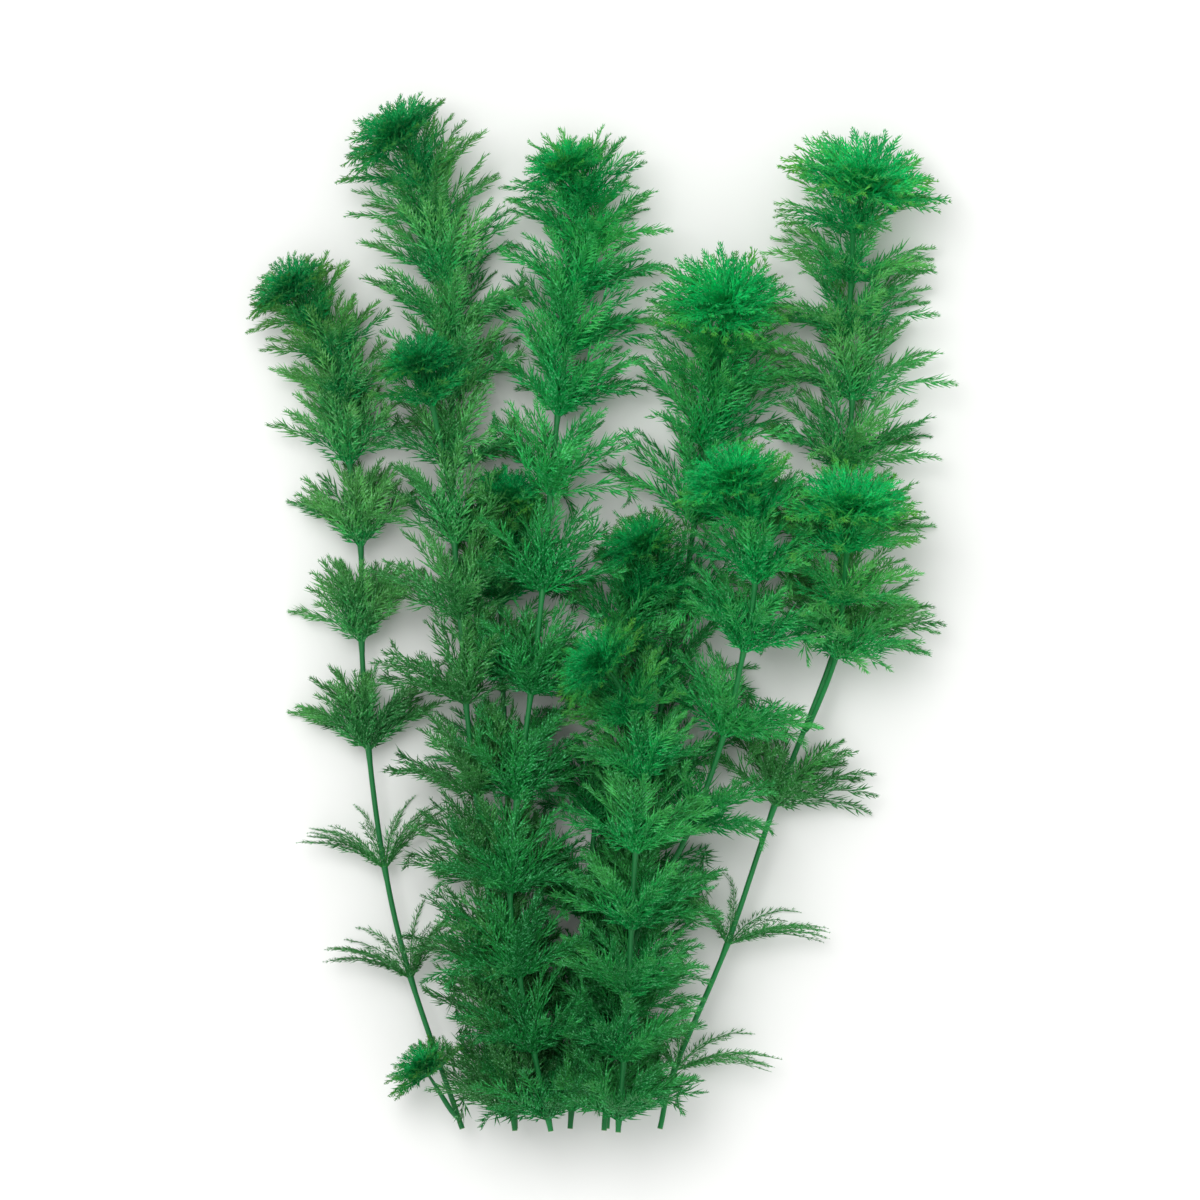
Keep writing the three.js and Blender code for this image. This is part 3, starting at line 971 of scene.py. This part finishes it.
class AMBULIA_OT_stems(bpy.types.Operator):
    """Build the round stems of all shoots"""

    bl_idname = "ambulia.stems"
    bl_label = "Stems"

    def execute(self, context):
        sizes = context.scene.ambulia_stems
        inputs = {"Radius": sizes.radius, "Sides": sizes.sides,
                  "Material": stem_material(context.scene.ambulia_colours)}
        tree = stalk_tree()
        for shoot in SHOOTS:
            name = shoot["name"]
            piece = grow(f"{name}_stalk", stalk_mesh(shoot, sizes), tree, inputs)
            settle(piece, "stem", f"{name}_stem")
        return {"FINISHED"}


class LeafBuilder:
    """What the operators of whorls and crowns share"""

    def begin(self, context, label, pairs, width):
        """Makes the material, the segment and the tree that all pieces of an operator use."""
        sizes = context.scene.ambulia_leaves
        material = bpy.data.materials.get("ambulia_leaf")
        material = material or leaf_material(context.scene.ambulia_colours)
        segment = bpy.data.objects.new(f"{label}_segment", segment_mesh(label, width))
        self.sizes = sizes
        self.tree = feather_tree()
        self.inputs = {"Segment": segment, "Pairs": pairs, "Midrib radius": sizes.midrib,
                       "Seed": sizes.seed, "Material": material}

    def leafy(self, name, slot, leaves, *nodes):
        """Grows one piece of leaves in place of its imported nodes."""
        piece = grow(name, leaves.mesh(name), self.tree, self.inputs)
        settle(piece, slot, *nodes)

    def end(self):
        """Removes the segment, which is in the pieces by now."""
        segment = self.inputs["Segment"]
        mesh = segment.data
        bpy.data.objects.remove(segment)
        bpy.data.meshes.remove(mesh)


class AMBULIA_OT_whorls(LeafBuilder, bpy.types.Operator):
    """Build the whorls of leaves at the nodes of all shoots"""

    bl_idname = "ambulia.whorls"
    bl_label = "Leaf whorls"

    def execute(self, context):
        sizes = context.scene.ambulia_leaves
        self.begin(context, "whorl", sizes.pairs, sizes.needle / sizes.segment)
        for shoot in SHOOTS:
            name = shoot["name"]
            lower = Leaves()
            for index in range(len(shoot["nodes"])):
                leaves = Leaves() if index < shoot["free"] else lower
                whorl_leaves(leaves, shoot, index, sizes)
                if index < shoot["free"]:
                    whorl = f"{name}_whorl_{index + 1}"
                    self.leafy(f"{whorl}_leaves", "leaf", leaves, whorl)
            if lower.parts:
                self.leafy(f"{name}_lower_leaves", "leaf", lower, f"{name}_stem")
        self.end()
        return {"FINISHED"}


class AMBULIA_OT_crowns(LeafBuilder, bpy.types.Operator):
    """Build the crown of young leaves at the tip of each shoot"""

    bl_idname = "ambulia.crowns"
    bl_label = "Crowns"

    def execute(self, context):
        sizes = context.scene.ambulia_leaves
        self.begin(context, "crown", sizes.crown_pairs, sizes.needle / sizes.crown_segment)
        for shoot in SHOOTS:
            leaves = Leaves()
            crown_leaves(leaves, shoot, sizes)
            self.leafy(f"{shoot['name']}_crown", "rosette", leaves, f"{shoot['name']}_rosette")
        self.end()
        return {"FINISHED"}


class AMBULIA_OT_stage(bpy.types.Operator):
    """Build the floor, the lights and the camera"""

    bl_idname = "ambulia.stage"
    bl_label = "Stage"

    def execute(self, context):
        scene, sizes = context.scene, context.scene.ambulia_stage
        half = sizes.floor_size / 2
        mesh = bpy.data.meshes.new("floor")
        mesh.from_pydata([(-half, -half, 0), (half, -half, 0), (half, half, 0), (-half, half, 0)],
                         [], [(0, 1, 2, 3)])
        floor = bpy.data.objects.new("floor", mesh)
        scene.collection.objects.link(floor)
        material, tree = new_material("pale_floor")
        surface(tree, {"Base Color": rgb(sizes.floor), "Roughness": 0.85})
        mesh.materials.append(material)

        world = bpy.data.worlds.new("soft_sky")
        world.use_nodes = True
        world.node_tree.nodes.clear()
        tree = Tree(world.node_tree)
        sky = tree.node("ShaderNodeBackground", {}, {"Color": (1.0, 1.0, 1.0, 1.0),
                                                     "Strength": sizes.sky})
        tree.node("ShaderNodeOutputWorld", {}, {"Surface": sky})
        scene.world = world

        lamp = bpy.data.lights.new("key", "AREA")
        lamp.shape = "DISK"
        lamp.size = KEY_SIZE
        lamp.energy = sizes.key_power
        key = bpy.data.objects.new("key", lamp)
        key.location = KEY_PLACE
        key.rotation_euler = (-key.location).to_track_quat("-Z", "Y").to_euler()
        scene.collection.objects.link(key)

        lens = bpy.data.cameras.new("camera")
        lens.lens = sizes.lens
        lens.clip_end = 100
        camera = bpy.data.objects.new("camera", lens)
        away = sizes.view_width * lens.lens / lens.sensor_width
        x, y, z = VIEW_MIDDLE
        camera.location = (x, y, z + away)
        scene.collection.objects.link(camera)
        scene.camera = camera
        scene.view_settings.view_transform = "Standard"
        return {"FINISHED"}


class VIEW3D_PT_ambulia(bpy.types.Panel):
    """Sizes, colours and steps of the ambulia bunch"""

    bl_label = "Ambulia"
    bl_space_type = "VIEW_3D"
    bl_region_type = "UI"
    bl_category = "Ambulia"

    def draw(self, context):
        for name in GROUPS:
            group = getattr(context.scene, name)
            box = self.layout.box()
            for key in group.bl_rna.properties.keys():
                if key not in ("rna_type", "name"):
                    box.prop(group, key)
        for step in STEPS:
            self.layout.operator(step.bl_idname)


STEPS = (AMBULIA_OT_stage, AMBULIA_OT_stems, AMBULIA_OT_whorls, AMBULIA_OT_crowns)
CLASSES = (*GROUPS.values(), *STEPS, VIEW3D_PT_ambulia)


def register():
    for made in CLASSES:
        bpy.utils.register_class(made)
    for name, group in GROUPS.items():
        setattr(bpy.types.Scene, name, bpy.props.PointerProperty(type=group))


def unregister():
    for name in GROUPS:
        delattr(bpy.types.Scene, name)
    for made in reversed(CLASSES):
        bpy.utils.unregister_class(made)


def main():
    """Builds everything in order."""
    register()
    bpy.ops.ambulia.stage()
    bpy.ops.ambulia.stems()
    bpy.ops.ambulia.whorls()
    bpy.ops.ambulia.crowns()
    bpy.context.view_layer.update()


if __name__ == "__main__":
    main()
